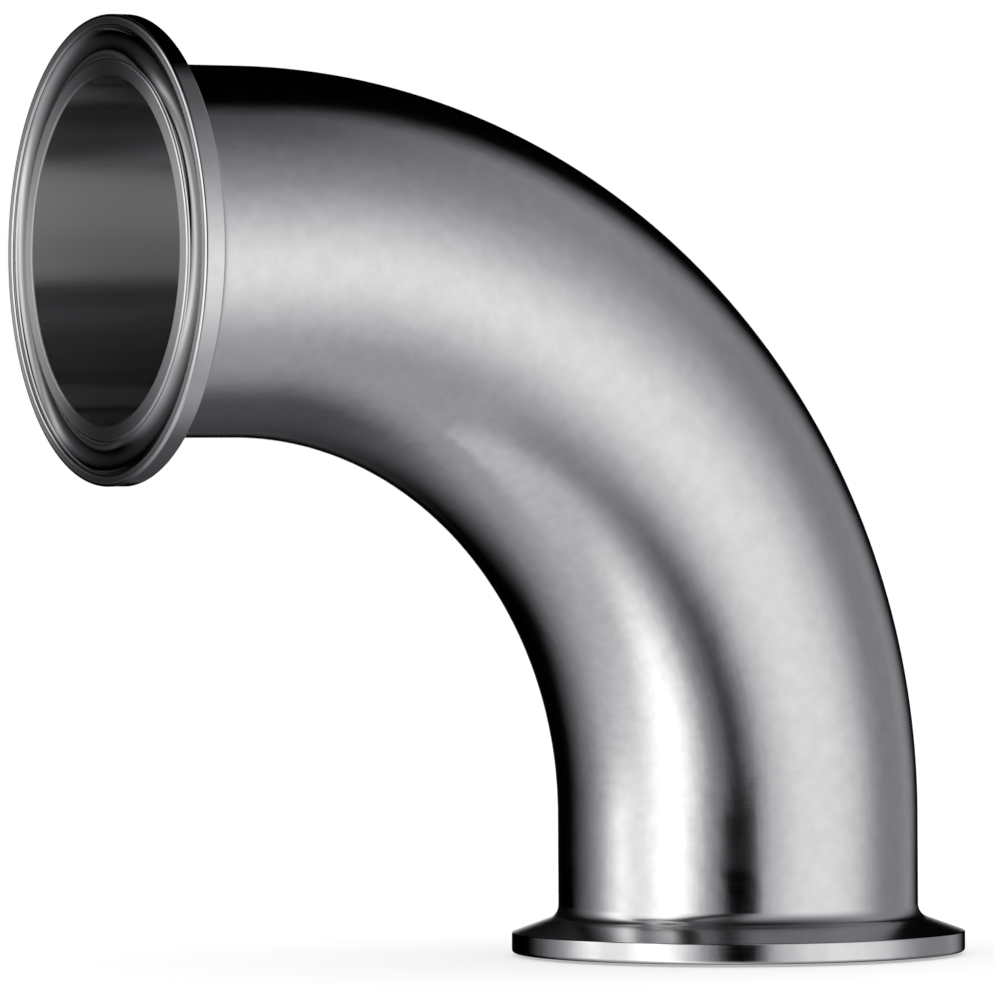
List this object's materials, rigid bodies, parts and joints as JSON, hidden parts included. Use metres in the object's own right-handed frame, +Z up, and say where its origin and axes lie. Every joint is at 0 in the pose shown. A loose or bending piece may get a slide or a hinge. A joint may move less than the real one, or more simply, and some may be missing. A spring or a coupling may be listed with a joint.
{
  "type": "sanitary ninety degree elbow",
  "caption": "Polished stainless steel ninety degree tube elbow with a grooved clamp ferrule on each end, for joining hygienic pipe runs at a right angle.",
  "frame": {"origin": "centre of the lower port's face", "axes": "+Z up the lower port's axis into the elbow, -X the way the upper port looks, bend in the XZ plane"},
  "size_m": [0.13, 0.064, 0.13],
  "materials": {
    "stainless_steel": "satin polished tube with brighter turned ferrules"
  },
  "bodies": {
    "root": {"elbow": "stainless_steel"}
  },
  "joints": []
}
